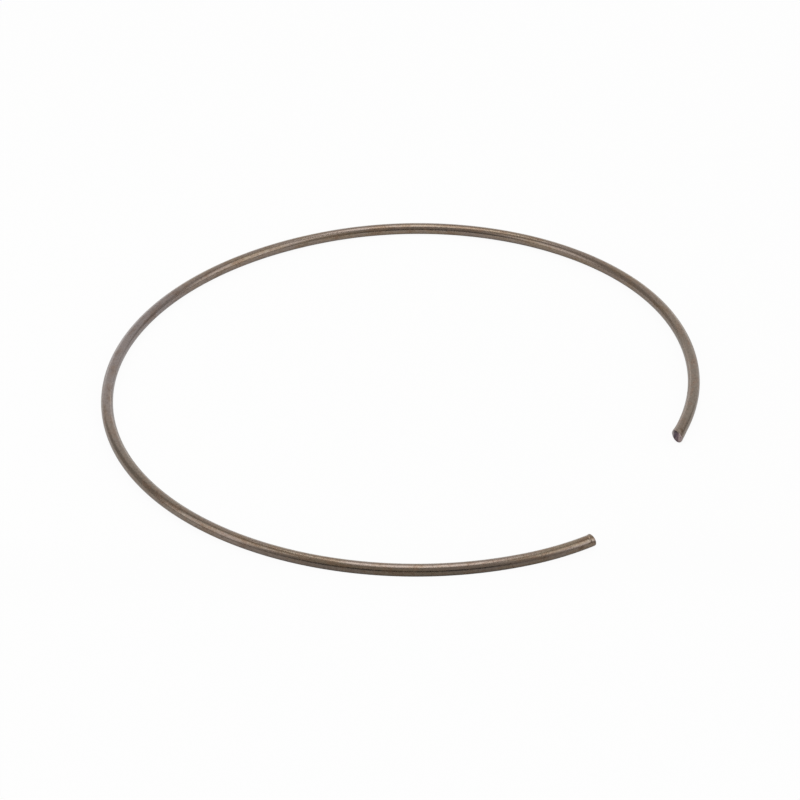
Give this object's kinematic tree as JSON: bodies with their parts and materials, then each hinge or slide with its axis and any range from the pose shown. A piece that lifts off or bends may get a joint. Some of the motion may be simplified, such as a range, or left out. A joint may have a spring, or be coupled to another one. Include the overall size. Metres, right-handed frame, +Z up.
{
  "type": "spacer ring",
  "caption": "Open flat ring of round spring wire with a gap between its two cut ends; it is opened or closed to snap into a groove, where it spaces or holds parts.",
  "frame": {"origin": "middle of the ring's outline, on the surface that the ring lies on", "axes": "+Z up through the ring, +X from its middle towards the gap, +Y across the gap"},
  "size_m": [0.1044, 0.1064, 0.002],
  "materials": {
    "wire": "satin, drawn and bronze-brown from its oiled finish"
  },
  "bodies": {
    "root": {"spacer_ring": "wire"}
  },
  "joints": []
}
